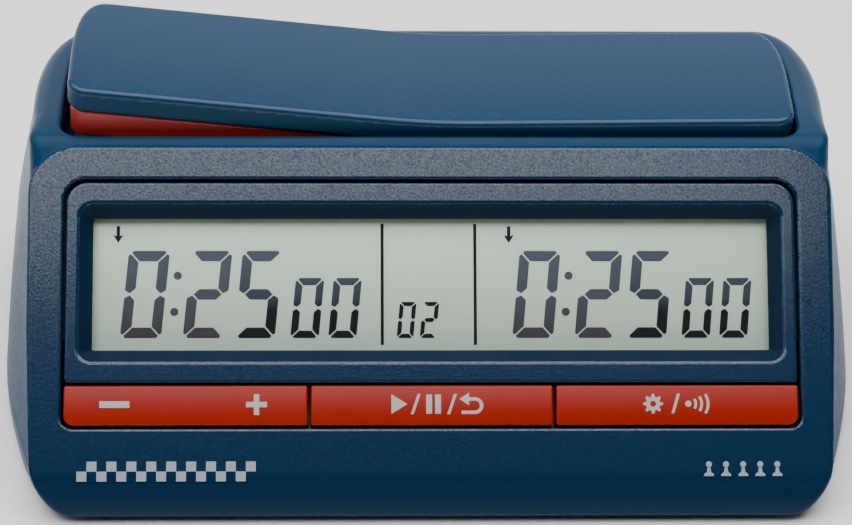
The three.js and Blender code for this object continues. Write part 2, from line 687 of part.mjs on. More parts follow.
const innerEnd = TUB.half - 0.4;
const springY = CELL_Y[0];
add(clock, 'battery_spring', join(
  contactPlate(-innerEnd, -innerEnd + 0.5, springY - 5.5, springY + 5.5),
  coil(-innerEnd + 0.3, 3, springY, 1),
  block(-innerEnd - 2.6, -innerEnd + 0.5, 14, 16, 11, 13),
), 'steel');
add(clock, 'battery_plate', join(
  contactPlate(-innerEnd, -innerEnd + 0.5, CELL_Y[1] - 5.5, CELL_Y[1] + 5.5),
  block(-innerEnd - 2.6, -innerEnd + 0.5, 29, 31, 11, 13),
), 'steel');
add(clock, 'battery_bridge', join(
  contactPlate(innerEnd - 0.5, innerEnd, springY - 5.5, CELL_Y[1] + 5.5),
  coil(innerEnd - 0.3, 3, CELL_Y[1], -1),
), 'steel');

// ---------------------------------------------------------------- wiring, from terminal to board

const boardPoint = (x, up) => {
  const depth = -boardBack + 0.3;
  return [
    x,
    FACE_FOOT_Y + up * Math.cos(FACE_ANGLE) + depth * Math.sin(FACE_ANGLE),
    FACE_FOOT_Z + up * Math.sin(FACE_ANGLE) - depth * Math.cos(FACE_ANGLE),
  ];
};

add(clock, 'battery_lead_black', wire([
  [-32.6, 15, 12], [-35, 12, 13], [-37, 4, 15], [-38, -6, 18], boardPoint(-38, 34),
], 0.6), 'black');
add(clock, 'battery_lead_red', wire([
  [-32.6, 30, 12], [-36, 26, 14], [-41, 14, 16], [-43, -2, 19], boardPoint(-43, 34),
], 0.6), 'leadRed');
add(clock, 'switch_ribbon', wire([
  [15, 11.4, boardTop - 0.6], [15.5, 7, boardTop + 0.6], [16, 2, 29], boardPoint(16, 50),
], 0.9), 'white');

export default clock;
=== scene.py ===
"""Looks of a digital chess clock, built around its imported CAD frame.

Shapes are written as distance fields in millimetres and meshed here, so every edge has its own fillet.
"""

import math

import bmesh
import bpy
import numpy as np
from mathutils import Matrix, Vector


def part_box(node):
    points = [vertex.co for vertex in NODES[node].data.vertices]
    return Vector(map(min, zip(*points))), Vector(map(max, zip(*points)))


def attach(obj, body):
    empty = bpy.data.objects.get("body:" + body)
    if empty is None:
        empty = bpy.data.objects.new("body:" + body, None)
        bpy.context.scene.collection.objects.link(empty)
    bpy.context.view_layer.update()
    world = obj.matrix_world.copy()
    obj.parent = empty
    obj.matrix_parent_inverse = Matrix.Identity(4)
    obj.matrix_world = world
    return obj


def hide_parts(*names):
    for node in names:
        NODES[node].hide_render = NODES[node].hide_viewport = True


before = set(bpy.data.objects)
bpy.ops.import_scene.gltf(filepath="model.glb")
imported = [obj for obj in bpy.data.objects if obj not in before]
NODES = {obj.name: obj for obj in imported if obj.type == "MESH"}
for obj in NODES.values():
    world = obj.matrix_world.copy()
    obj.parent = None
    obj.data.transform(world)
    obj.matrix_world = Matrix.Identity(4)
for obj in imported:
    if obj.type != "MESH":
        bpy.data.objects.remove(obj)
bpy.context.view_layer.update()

MM = 0.001


# ---------------------------------------------------------------- driving dimensions, in millimetres

def box_mm(node):
    """Lowest and highest corner of a CAD node at rest, in millimetres."""
    low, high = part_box(node)
    return low / MM, high / MM


case_low, case_high = box_mm("top_housing")
FOOT_HEIGHT = case_low.z
CASE_TOP = case_high.z
CASE_FRONT = case_low.y
CASE_BACK = case_high.y

FACE_ANGLE = math.radians(42)
FACE_SIN = math.sin(FACE_ANGLE)
FACE_COS = math.cos(FACE_ANGLE)
FACE_FOOT_Y = CASE_FRONT + 0.5
FACE_FOOT_Z = 6.0
BACK_LEAN = 4.0
PANEL_HALF = 75.2
PANEL_SPREAD = 0.9
FLARE = 7.8
FLARE_LENGTH = 40.0
BACK_CORNER_X = 12.0
BACK_CORNER_Y = 25.0
BACK_CORNER_POWER = 2.4
WALL = 2.2
PANEL_STEP = 0.6
PANEL_TOP = 67.0
PANEL_CORNER = 9.5
FRONT_CORNER = 12.0

OPENING = dict(half=69.2, low=13.45, high=60.6, r_low=2.2, r_high=4.4)
INSERT = dict(half=68.6, low=21.95, high=60.0, depth=3.2)
WINDOW = dict(half=66.3, low=25.86, high=56.06, draft=2.6, depth=2.9)
KEY = dict(low=13.95, high=21.44, proud=0.5, gap=0.6, split=22.9)
LCD_FACE = -4.7

POCKET = dict(half=70.2, front=6.2, back=38.9, floor=42.3, wall=1.6)
LEVER = dict(half=69.2, front=7.3, back=37.7, top=53.3, lip=5.0, wall=2.0)
LEVER_CORNER = dict(front=3.6, x=7.0, y=20.0, power=2.9)
LEVER_RISE = math.radians(3.6)
LEVER_TILT = math.radians(2.94)
PIVOT_Z = 46.0
LEVER_DOME = 0.25
MID_Y = (LEVER["front"] + LEVER["back"]) / 2
LEVER_STUDS = (-30, 30)


# ---------------------------------------------------------------- distance fields

def round_and(a, b, r):
    """Where both fields are inside, with the edge between them rounded to radius r."""
    u = np.maximum(a + r, 0)
    v = np.maximum(b + r, 0)
    return np.minimum(np.maximum(a, b), -r) + np.sqrt(u * u + v * v)


def round_or(a, b, r):
    return -round_and(-a, -b, r)


def carve(a, b, r):
    """Field a with field b cut away, the rim rounded to radius r."""
    return round_and(a, -b, r)


def rect(x, y, x0, x1, y0, y1, r_low, r_high=None):
    """A rectangle in the plane with rounded corners; r_low at the y0 end, r_high at the y1 end."""
    r = r_low if r_high is None else np.where(y > (y0 + y1) / 2, r_high, r_low)
    qx = np.abs(x - (x0 + x1) / 2) - (x1 - x0) / 2 + r
    qy = np.abs(y - (y0 + y1) / 2) - (y1 - y0) / 2 + r
    return np.minimum(np.maximum(qx, qy), 0) + np.hypot(np.maximum(qx, 0), np.maximum(qy, 0)) - r


def bowed(x, y, plan, inset):
    """A plan with round front corners and long, bowed back corners; plan gives half, front and back."""
    corner = LEVER_CORNER
    cx, cy, p = corner["x"] - inset, corner["y"] - inset, corner["power"]
    u = np.maximum(np.abs(x) - plan["half"] + inset + cx, 1e-6) / cx
    v = np.maximum(y - plan["back"] + inset + cy, 1e-6) / cy
    reach = (u ** p + v ** p) ** (1 / p)
    slope = np.hypot((u / reach) ** (p - 1) / cx, (v / reach) ** (p - 1) / cy)
    return round_and((reach - 1) / slope, plan["front"] + inset - y, max(corner["front"] - inset, 0.8))


def to_face(y, z):
    """Distance up the sloping face and outward from it."""
    up = (y - FACE_FOOT_Y) * FACE_COS + (z - FACE_FOOT_Z) * FACE_SIN
    out = -(y - FACE_FOOT_Y) * FACE_SIN + (z - FACE_FOOT_Z) * FACE_COS
    return up, out


def spread_at(z):
    """How much wider the face is at this height than at its foot, each side."""
    return PANEL_SPREAD * np.clip((z - 7) / 20, 0, 1)


def case_plan(ax, y, z):
    """Distance to the case's side and back walls, with their soft back corners."""
    front = np.maximum(CASE_FRONT, FACE_FOOT_Y + (z - FACE_FOOT_Z) / math.tan(FACE_ANGLE))
    back = CASE_BACK - BACK_LEAN * np.maximum(0, z - FACE_FOOT_Z) / (CASE_TOP - FACE_FOOT_Z)
    along = np.clip((y - front - 8) / FLARE_LENGTH, 0, 1)
    swell = np.clip(1 - (np.maximum(z, 0) / CASE_TOP) ** 1.5, 0, 1)
    side = PANEL_HALF + spread_at(z) + (FLARE - 0.1) * swell * np.sin(along * math.pi / 2)
    p = BACK_CORNER_POWER
    u = np.maximum(ax - side + BACK_CORNER_X, 1e-6) / BACK_CORNER_X
    v = np.maximum(y - back + BACK_CORNER_Y, 1e-6) / BACK_CORNER_Y
    reach = (u ** p + v ** p) ** (1 / p)
    slope = np.hypot((u / reach) ** (p - 1) / BACK_CORNER_X, (v / reach) ** (p - 1) / BACK_CORNER_Y)
    return (reach - 1) / slope


def case_field(x, y, z):
    ax = np.abs(x)
    up, out = to_face(y, z)
    side = case_plan(ax, y, z)
    wrap = round_and(side, -3.9 - up, FRONT_CORNER)
    crest = np.clip((z - CASE_TOP + 6) / 5, 0, 1)
    shell = round_and(wrap, out + PANEL_STEP, 4.2 - 1.7 * crest)
    shell = round_and(shell, CASE_FRONT + PANEL_STEP - y, 4)
    shell = round_and(shell, z - CASE_TOP, 1.2 + 1.8 * np.clip((y - 6) / 8, 0, 1))
    half = PANEL_HALF + spread_at(z)
    panel = round_and(rect(ax, up, -half, half, -30, PANEL_TOP, 1, PANEL_CORNER), out, 0.7)
    panel = round_and(np.maximum(panel, -9 - out), CASE_FRONT - y, 4.5)
    panel = round_and(panel, wrap, 0.7)
    outer = round_or(shell, panel, 0.3)
    hollow = np.maximum(shell + WALL, -bowed(x, y, POCKET, -POCKET["wall"]))
    under_pocket = np.maximum(shell + WALL, z - POCKET["floor"] + POCKET["wall"])
    hollow = np.minimum(hollow, under_pocket)
    outer = round_and(outer, FOOT_HEIGHT - z, 1.2)
    outer = carve(outer, np.maximum(bowed(x, y, POCKET, 0), POCKET["floor"] - z), 0.8)
    opening = rect(x, up, -OPENING["half"], OPENING["half"], OPENING["low"], OPENING["high"],
                   OPENING["r_low"], OPENING["r_high"])
    outer = carve(outer, np.maximum(opening, -6 - out), 0.35)
    outer = np.maximum(outer, -hollow)
    slot = np.maximum(np.abs(x) - 9, np.abs(y - MID_Y) - 7)
    outer = np.maximum(outer, -np.maximum(slot, np.abs(z - POCKET["floor"]) - 3))
    door = np.maximum(np.maximum(ax - 31, 35 - y), z - 4.3)
    return carve(outer, door, 0.3)


# ---------------------------------------------------------------- meshing

def gradient(field, p):
    e = 0.02
    g = np.empty_like(p)
    for k in range(3):
        d = np.zeros(3)
        d[k] = e
        g[:, k] = (field(*(p + d).T) - field(*(p - d).T)) / (2 * e)
    return g


def settle(field, p, centre, step):
    """Moves points onto the field's surface, each staying within its own cell."""
    for _ in range(4):
        g = gradient(field, p)
        f = field(*p.T)
        p = p - g * (f / np.maximum((g * g).sum(1), 0.05))[:, None]
        p = centre + np.clip(p - centre, -0.75 * step, 0.75 * step)
    return p


def surface(field, low, high, step):
    """Surface nets: the vertices and quads of a field's zero surface."""
    axes = [np.arange(a - 3.5 * step, b + 4 * step, step) for a, b in zip(low, high)]
    f = np.empty([len(a) for a in axes], np.float32)
    y, z = np.meshgrid(axes[1], axes[2], indexing="ij")
    for i in range(0, len(axes[0]), 8):
        x = axes[0][i:i + 8][:, None, None]
        f[i:i + 8] = field(x + 0 * y, y + 0 * x, z + 0 * x)
    inside = f < 0
    total = np.zeros([n - 1 for n in f.shape], np.int8)
    for di in (0, 1):
        for dj in (0, 1):
            for dk in (0, 1):
                total += inside[di:di + total.shape[0], dj:dj + total.shape[1], dk:dk + total.shape[2]]
    cells = np.argwhere((total > 0) & (total < 8))
    index = np.full(total.shape, -1, np.int64)
    index[tuple(cells.T)] = np.arange(len(cells))
    centre = np.stack([axes[k][cells[:, k]] + step / 2 for k in range(3)], 1)
    quads = []
    for k in range(3):
        first = [slice(1, -1)] * 3
        second = [slice(1, -1)] * 3
        first[k] = slice(0, -1)
        second[k] = slice(1, None)
        a, b = inside[tuple(first)], inside[tuple(second)]
        edge = np.argwhere(a != b)
        outward = a[tuple(edge.T)]
        for axis in range(3):
            if axis != k:
                edge[:, axis] += 1
        m, n = (k + 1) % 3, (k + 2) % 3
        ring = []
        for dm, dn in ((-1, -1), (0, -1), (0, 0), (-1, 0)):
            cell = edge.copy()
            cell[:, m] += dm
            cell[:, n] += dn
            ring.append(index[tuple(cell.T)])
        ring = np.stack(ring, 1)
        ring[~outward] = ring[~outward][:, ::-1]
        quads.append(ring)
    return settle(field, centre, centre, step), np.concatenate(quads)


def build_mesh(name, points, quads):
    mesh = bpy.data.meshes.new(name)
    mesh.vertices.add(len(points))
    mesh.vertices.foreach_set("co", (points * MM).astype(np.float32).ravel())
    mesh.loops.add(quads.size)
    mesh.loops.foreach_set("vertex_index", quads.astype(np.int32).ravel())
    mesh.polygons.add(len(quads))
    mesh.polygons.foreach_set("loop_start", np.arange(0, quads.size, quads.shape[1], dtype=np.int32))
    mesh.update(calc_edges=True)
    mesh.validate()
    return mesh


def show(name, mesh):
    piece = bpy.data.objects.new(name, mesh)
    bpy.context.scene.collection.objects.link(piece)
    return piece


def thin_out(piece, faces):
    """Merges triangles on the flatter stretches down to about the number of faces asked for."""
    count = 2 * len(piece.data.polygons)
    if count <= faces:
        return
    modifier = piece.modifiers.new("thin", "DECIMATE")
    modifier.ratio = faces / count
    graph = bpy.context.evaluated_depsgraph_get()
    fine = piece.data
    piece.data = bpy.data.meshes.new_from_object(piece.evaluated_get(graph))
    piece.modifiers.clear()
    bpy.data.meshes.remove(fine)
    piece.data.name = piece.name


def coordinates(mesh):
    co = np.empty(len(mesh.vertices) * 3, np.float32)
    mesh.vertices.foreach_get("co", co)
    return co.reshape(-1, 3).astype(float)


def smooth_from(piece, field):
    """Shades the mesh with the field's own normals."""
    normals = gradient(field, coordinates(piece.data) / MM)
    normals /= np.maximum(np.linalg.norm(normals, axis=1), 1e-6)[:, None]
    piece.data.shade_smooth()
    piece.data.normals_split_custom_set_from_vertices(normals)


def moulded(name, field, low, high, step, faces):
    """A piece from a distance field."""
    points, quads = surface(field, low, high, step)
    piece = show(name, build_mesh(name, points, quads))
    thin_out(piece, faces)
    smooth_from(piece, field)
    return piece


def stand_in(name, node, field, step, faces):
    """A moulded piece meshed inside the box of the CAD node it stands for."""
    low, high = box_mm(node)
    return moulded(name, field, low, high, step, faces)


# ---------------------------------------------------------------- materials

def shader(name):
    """A new material: its node tree and its Principled shader."""
    material = bpy.data.materials.new(name)
    material.use_nodes = True
    tree = material.node_tree
    return material, tree, tree.nodes["Principled BSDF"]


def grain(tree, scale, detail):
    """Noise in the object's own space; scale is in features per metre."""
    where = tree.nodes.new("ShaderNodeTexCoord")
    noise = tree.nodes.new("ShaderNodeTexNoise")
    noise.inputs["Scale"].default_value = scale
    noise.inputs["Detail"].default_value = detail
    tree.links.new(where.outputs["Object"], noise.inputs["Vector"])
    return noise.outputs["Fac"]


def spread(tree, value, low, high):
    """Maps the middle of a noise onto low to high."""
    node = tree.nodes.new("ShaderNodeMapRange")
    node.inputs["From Min"].default_value = 0.3
    node.inputs["From Max"].default_value = 0.7
    node.inputs["To Min"].default_value = low
    node.inputs["To Max"].default_value = high
    tree.links.new(value, node.inputs["Value"])
    return node.outputs["Result"]


def tint(tree, value, low, high):
    """A colour between low and high, led by a noise."""
    node = tree.nodes.new("ShaderNodeMix")
    node.data_type = "RGBA"
    node.inputs["A"].default_value = (*low, 1)
    node.inputs["B"].default_value = (*high, 1)
    tree.links.new(value, node.inputs["Factor"])
    return node.outputs["Result"]


def add_bump(tree, bsdf, value, depth):
    """Adds relief of the given depth in metres."""
    node = tree.nodes.new("ShaderNodeBump")
    node.inputs["Distance"].default_value = depth
    tree.links.new(value, node.inputs["Height"])
    tree.links.new(node.outputs["Normal"], bsdf.inputs["Normal"])


def plastic(name, colour, rough, grain_mm, relief_mm,
            vary=0.06, coat=0.0, gloss=0.5, cloud_scale=60, sparkle=0.0):
    """Moulded plastic: slight mottling, uneven gloss and a surface grain."""
    material, tree, bsdf = shader(name)
    bsdf.inputs["Specular IOR Level"].default_value = gloss
    cloud = grain(tree, cloud_scale, 3)
    low = [c * (1 - vary) for c in colour]
    high = [c * (1 + vary) for c in colour]
    tree.links.new(tint(tree, cloud, low, high), bsdf.inputs["Base Color"])
    fine = grain(tree, 1 / (grain_mm * MM), 2)
    tree.links.new(spread(tree, fine, rough * 0.9, min(1, rough * 1.1)), bsdf.inputs["Roughness"])
    if sparkle:
        shine = spread(tree, fine, gloss - sparkle, gloss + sparkle)
        tree.links.new(shine, bsdf.inputs["Specular IOR Level"])
    if relief_mm:
        add_bump(tree, bsdf, fine, relief_mm * MM)
    bsdf.inputs["Coat Weight"].default_value = coat
    return material


def soften_front(material, low, high):
    """Less gloss towards the front: low at the crest of the face, high over the lever's pocket."""
    tree = material.node_tree
    where = tree.nodes.new("ShaderNodeTexCoord")
    split = tree.nodes.new("ShaderNodeSeparateXYZ")
    ramp = tree.nodes.new("ShaderNodeMapRange")
    ramp.inputs["From Min"].default_value = 4 * MM
    ramp.inputs["From Max"].default_value = 16 * MM
    ramp.inputs["To Min"].default_value = low
    ramp.inputs["To Max"].default_value = high
    tree.links.new(where.outputs["Object"], split.inputs["Vector"])
    tree.links.new(split.outputs["Y"], ramp.inputs["Value"])
    tree.links.new(ramp.outputs["Result"], tree.nodes["Principled BSDF"].inputs["Specular IOR Level"])


def metal(name, colour, rough):
    material, tree, bsdf = shader(name)
    fine = grain(tree, 900, 4)
    low = [c * 0.85 for c in colour]
    tree.links.new(tint(tree, fine, low, colour), bsdf.inputs["Base Color"])
    tree.links.new(spread(tree, fine, rough * 0.8, rough * 1.3), bsdf.inputs["Roughness"])
    bsdf.inputs["Metallic"].default_value = 1
    add_bump(tree, bsdf, fine, 0.00001)
    return material


BLUE = (0.0030, 0.034, 0.083)
PANEL_BLUE = (0.0018, 0.0195, 0.052)
LEVER_BLUE = (0.0020, 0.033, 0.083)
# Lighter copy of the lever blue for its sides and lip: painted light that brightens the shaded front lip.
LEVER_SIDE_PAINTED_LIGHT_BLUE = (0.0040, 0.041, 0.090)
# Darker copy of the panel blue: painted shade for the bezel's sides and window walls.
RECESS_PAINTED_SHADE_BLUE = (0.0012, 0.013, 0.034)
RED = (0.27, 0.0085, 0.002)
SKIRT_TINT = (0.38, 0.026, 0.018)

SHELL = plastic("shell_gloss_blue", BLUE, 0.36, 1.6, 0.0010, gloss=0.3)
soften_front(SHELL, 0.08, 0.34)
PANEL = plastic("panel_spark_blue", PANEL_BLUE, 0.145, 0.42, 0.008,
                vary=0.30, gloss=0.5, cloud_scale=1700, sparkle=0.25)
PANEL_LIP = plastic("panel_lip_blue", PANEL_BLUE, 0.35, 0.42, 0.008, vary=0.30, gloss=0.13, cloud_scale=1700)
LEVER_SKIN = plastic("lever_satin_blue", LEVER_BLUE, 0.27, 1.2, 0.0, gloss=0.38)
LEVER_SIDE_PAINTED_LIGHT = plastic("lever_side_painted_light_blue", LEVER_SIDE_PAINTED_LIGHT_BLUE, 0.45, 0.8, 0.001, gloss=0.15)
SKIRT_RED = plastic("skirt_red", SKIRT_TINT, 0.30, 0.9, 0.001, gloss=0.55)
KEY_RED = plastic("key_red", RED, 0.30, 0.9, 0.0, gloss=0.25)
RECESS_PAINTED_SHADE = plastic("recess_painted_shade_blue", RECESS_PAINTED_SHADE_BLUE, 0.45, 0.8, 0.002, gloss=0.12)
BASE = plastic("base_blue", PANEL_BLUE, 0.55, 0.5, 0.02)
RUBBER = plastic("rubber_black", (0.018, 0.018, 0.019), 0.85, 0.4, 0.02)
EPOXY = plastic("chip_black", (0.015, 0.015, 0.016), 0.6, 0.4, 0.01)
SILICONE = plastic("silicone_grey", (0.36, 0.37, 0.36), 0.7, 0.7, 0.01)
CREAM = plastic("frame_cream", (0.62, 0.60, 0.55), 0.5, 0.8, 0.005)
CELL_SLEEVE = plastic("cell_sleeve_blue", (0.03, 0.11, 0.30), 0.3, 1.2, 0.002, coat=0.3)
WIRE_BLACK = plastic("wire_black", (0.016, 0.016, 0.016), 0.5, 0.5, 0.004)
WIRE_RED = plastic("wire_red", (0.40, 0.02, 0.02), 0.5, 0.5, 0.004)
BOARD = plastic("board_green", (0.010, 0.090, 0.030), 0.4, 1.5, 0.006)
PRINT = plastic("print_light_grey", (0.40, 0.37, 0.36), 0.5, 0.25, 0.004)
CASE_PRINT = plastic("print_silver_grey", (0.27, 0.30, 0.35), 0.45, 0.25, 0.004)
STEEL = metal("zinc_steel", (0.55, 0.56, 0.57), 0.35)
NICKEL = metal("nickel_spring", (0.60, 0.57, 0.52), 0.22)


# ---------------------------------------------------------------- case

def paint(piece, first, *areas):
    """Materials on one moulding: each area is a material and the test that picks its faces."""
    piece.data.materials.append(first)
    polygons = piece.data.polygons
    centre = np.empty(len(polygons) * 3, np.float32)
    polygons.foreach_get("center", centre)
    index = np.zeros(len(polygons), np.int32)
    for number, (skin, chosen) in enumerate(areas, 1):
        piece.data.materials.append(skin)
        index[chosen(*(centre.reshape(-1, 3) / MM).T)] = number
    polygons.foreach_set("material_index", index)


def finish(piece, body, slot_name, *nodes):
    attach(piece, body)
    if nodes:
        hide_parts(*nodes)
    return piece


def on_panel(x, y, z):
    up, out = to_face(y, z)
    half = PANEL_HALF + spread_at(z)
    return (rect(np.abs(x), up, -half, half, -30, PANEL_TOP, 1, PANEL_CORNER) < -0.45) & (out > -0.4)


def on_front_lip(x, y, z):
    return (np.abs(x) < PANEL_HALF - 1) & (y < CASE_FRONT + 3) & (z > 2.4)


case = stand_in("case_shell", "top_housing", case_field, 0.55, 150000)
paint(case, SHELL, (PANEL, on_panel), (PANEL_LIP, on_front_lip))
finish(case, "case", "case_blue", "top_housing")


# ---------------------------------------------------------------- display bezel

def on_face(shape):
    """A field made in face coordinates (across, up, out), read in the row frame."""
    def field(x, y, z):
        up, out = to_face(y, z)
        return shape(x, up, out)
    return field


def post(x, y, z, cx, cy, radius, z0, z1):
    return np.maximum(np.hypot(x - cx, y - cy) - radius, np.maximum(z0 - z, z - z1))


BEZEL_FLANGE = dict(half=71.2, middle=46.1, reach=16.1)
BEZEL_SCREWS = ((-50, 24.1), (50, 24.1), (-50, 58.1), (0, 58.1), (50, 58.1))


def bezel_shape(x, up, out):
    half, depth = INSERT["half"], INSERT["depth"]
    body = rect(x, up, -half, half, INSERT["low"], INSERT["high"], 0.9, 4)
    body = round_and(body, out, 0.45)
    body = np.maximum(body, -depth - out)
    flange = np.maximum(np.abs(x) - BEZEL_FLANGE["half"],
                        np.abs(up - BEZEL_FLANGE["middle"]) - BEZEL_FLANGE["reach"])
    body = np.minimum(body, np.maximum(flange, np.abs(out + 2.85) - 0.35))
    for cx, cy in BEZEL_SCREWS:
        body = np.minimum(body, post(x, up, out, cx, cy, 1.7, -7.7, -depth + 0.2))
        body = np.maximum(body, -post(x, up, out, cx, cy, 0.95, -9, -depth + 0.4))
    slope = WINDOW["draft"] / WINDOW["depth"]
    sunk = np.clip(-out, 0, WINDOW["depth"]) * slope
    window = rect(x, up, -WINDOW["half"], WINDOW["half"], WINDOW["low"], WINDOW["high"], 2.7)
    window = (window + sunk) / math.hypot(1, slope)
    return carve(body, window, 0.3)


def on_bezel_top(x, y, z):
    up, out = to_face(y, z)
    return out > -0.25


bezel = stand_in("display_bezel_skin", "display_bezel", on_face(bezel_shape), 0.33, 140000)
# The bezel below its top face, window walls included, takes the darker blue of painted shade.
paint(bezel, RECESS_PAINTED_SHADE, (PANEL, on_bezel_top))
finish(bezel, "case", "bezel_blue", "display_bezel")


# ---------------------------------------------------------------- keys

KEY_NAMES = ("minus_plus_key", "play_pause_key", "settings_sound_key")
KEY_EDGES = (-INSERT["half"], -KEY["split"], KEY["split"], INSERT["half"])
KEY_CONTACTS = ((-57.5, -34.2), (-7, 7), (38.8, 53))
KEY_CONTACT_UP = 17.4
KEY_CROWN = 0.22
KEY_MID = (KEY["low"] + KEY["high"]) / 2


def key_top(up):
    """Height of the gently crowned key tops."""
    across = (up - KEY_MID) / (KEY["high"] - KEY_MID)
    return KEY["proud"] - KEY_CROWN * across * across


def key_shape(number):
    left = KEY_EDGES[number] + (KEY["gap"] / 2 if number else 0)
    right = KEY_EDGES[number + 1] - (KEY["gap"] / 2 if number < 2 else 0)
    flange_top = -INSERT["depth"] - 0.3

    def shape(x, up, out):
        outer_end = {0: x < (left + right) / 2, 2: x > (left + right) / 2}.get(number, x > 1e9)
        corner = np.where(outer_end & (up < KEY_MID), 1.9, 0.45)
        body = rect(x, up, left, right, KEY["low"], KEY["high"], corner, corner)
        body = round_and(body, out - key_top(up), 0.4)
        body = np.maximum(body, flange_top - 0.9 - out)
        flange = np.maximum(rect(x, up, left, right, KEY["low"] - 1.3, KEY["high"] + 0.5, 0.3),
                            np.abs(out - flange_top + 0.51) - 0.39)
        body = np.minimum(body, flange)
        for cx in KEY_CONTACTS[number]:
            body = np.minimum(body, post(x, up, out, cx, KEY_CONTACT_UP, 2, -6.6, flange_top - 0.5))
        return body
    return shape


for number, node in enumerate(KEY_NAMES):
    key = stand_in(node + "_cap", node, on_face(key_shape(number)), 0.3, 40000)
    key.data.materials.append(KEY_RED)
    finish(key, node, "signal_red", node)


# ---------------------------------------------------------------- lever

def to_lever(x, z):
    """Coordinates in the lever's own frame, level with its pin."""
    c, s = math.cos(LEVER_TILT), math.sin(LEVER_TILT)
    return x * c - (z - PIVOT_Z) * s, x * s + (z - PIVOT_Z) * c


def crown(x):
    """Height of the lever's shallow V above its pin."""
    soft = 9.0
    bend = np.where(np.abs(x) > soft, np.abs(x), (x * x / soft + soft) / 2)
    return LEVER["top"] - PIVOT_Z + math.tan(LEVER_RISE) * bend


def lever_shell_field(x, y, z):
    x, z = to_lever(x, z)
    top = crown(x)
    dome = LEVER_DOME * ((y - MID_Y) / (LEVER["back"] - MID_Y)) ** 2
    body = round_and(bowed(x, y, LEVER, 0), z - top + dome, 1.0)
    body = round_and(body, top - LEVER["lip"] - z, 0.5)
    hollow = np.maximum(bowed(x, y, LEVER, LEVER["wall"]), z - top + LEVER["wall"])
    body = np.maximum(body, -hollow)
    for cx in LEVER_STUDS:
        stud = post(x, y, z, cx, MID_Y, 2.4, 6.2, 7.9)
        body = np.minimum(body, np.maximum(stud, 1.1 - np.hypot(x - cx, y - MID_Y)))
    return body


SKIRT = dict(inset=0.5, wall=1.6, depth=11.0, flange=5.0, deck_inset=3.1)


def lever_skirt_field(x, y, z):
    x, z = to_lever(x, z)
    below = crown(x) - z
    lip, inset = LEVER["lip"], SKIRT["inset"]
    outline = bowed(x, y, LEVER, inset)
    body = round_and(outline, np.maximum(lip + 0.3 - below, below - SKIRT["depth"]), 0.4)
    open_middle = bowed(x, y, LEVER, inset + SKIRT["flange"])
    body = np.maximum(body, -np.maximum(outline + SKIRT["wall"], lip + 1.7 - below))
    body = np.maximum(body, -open_middle)
    deck = np.maximum(bowed(x, y, LEVER, SKIRT["deck_inset"]),
                      np.maximum(lip - 1.4 - below, below - lip - 0.9))
    body = np.minimum(body, deck)
    front, back = LEVER["front"] + 1.6, LEVER["back"] - 1.6
    hub = np.maximum(np.abs(x) - 4, np.maximum(front - y, y - back))
    body = np.minimum(body, np.maximum(hub, np.maximum(-2.8 - z, z - 2.3)))
    leg = np.maximum(np.abs(x) - 4, np.abs(y - MID_Y) - 2)
    body = np.minimum(body, np.maximum(leg, np.maximum(-16.4 - z, z)))
    body = np.maximum(body, 1.8 - np.hypot(x, z))
    body = np.maximum(body, -np.maximum(np.abs(x) - 1.3, z + 13))
    for cx in LEVER_STUDS:
        body = np.maximum(body, 1.2 - np.hypot(x - cx, y - MID_Y))
    return body


def below_lever_top(x, y, z):
    x, z = to_lever(x, z)
    return z < crown(x) - 1.35


lever = stand_in("lever_shell", "rocker_shell", lever_shell_field, 0.42, 80000)
# The lever's sides below its top take the lighter blue of painted light.
paint(lever, LEVER_SKIN, (LEVER_SIDE_PAINTED_LIGHT, below_lever_top))
finish(lever, "rocker", "lever_blue", "rocker_shell")
skirt = stand_in("lever_skirt", "rocker_skirt", lever_skirt_field, 0.42, 80000)
skirt.data.materials.append(SKIRT_RED)
finish(skirt, "rocker", "signal_red", "rocker_skirt")


# ---------------------------------------------------------------- plain solids with soft edges

def to_row(points):
    """Face coordinates (across, up, out) to row-frame millimetres."""
    x, up, out = np.asarray(points, float).T
    y = FACE_FOOT_Y + up * FACE_COS - out * FACE_SIN
    z = FACE_FOOT_Z + up * FACE_SIN + out * FACE_COS
    return np.stack([x, y, z], 1)


def face_pane(name, back, front, bevel, skin):
    """A pane behind the window with rounded edges; back and front are depths out of the face."""
    bm = bmesh.new()
    bmesh.ops.create_cube(bm, size=1)
    low = Vector((-DISPLAY_HALF, DISPLAY_LOW, back))
    high = Vector((DISPLAY_HALF, DISPLAY_HIGH, front))
    size = high - low
    middle = (high + low) / 2
    for v in bm.verts:
        v.co = Vector([c * s for c, s in zip(v.co, size)]) + middle
    bmesh.ops.bevel(bm, geom=bm.edges[:], offset=bevel, segments=3, profile=0.5, affect="EDGES")
    mesh = bpy.data.meshes.new(name)
    bm.to_mesh(mesh)
    bm.free()
    points = to_row([v.co[:] for v in mesh.vertices])
    mesh.vertices.foreach_set("co", (points * MM).astype(np.float32).ravel())
    mesh.shade_smooth()
    mesh.set_sharp_from_angle(angle=math.radians(35))
    piece = show(name, mesh)
    mesh.materials.append(skin)
    return piece


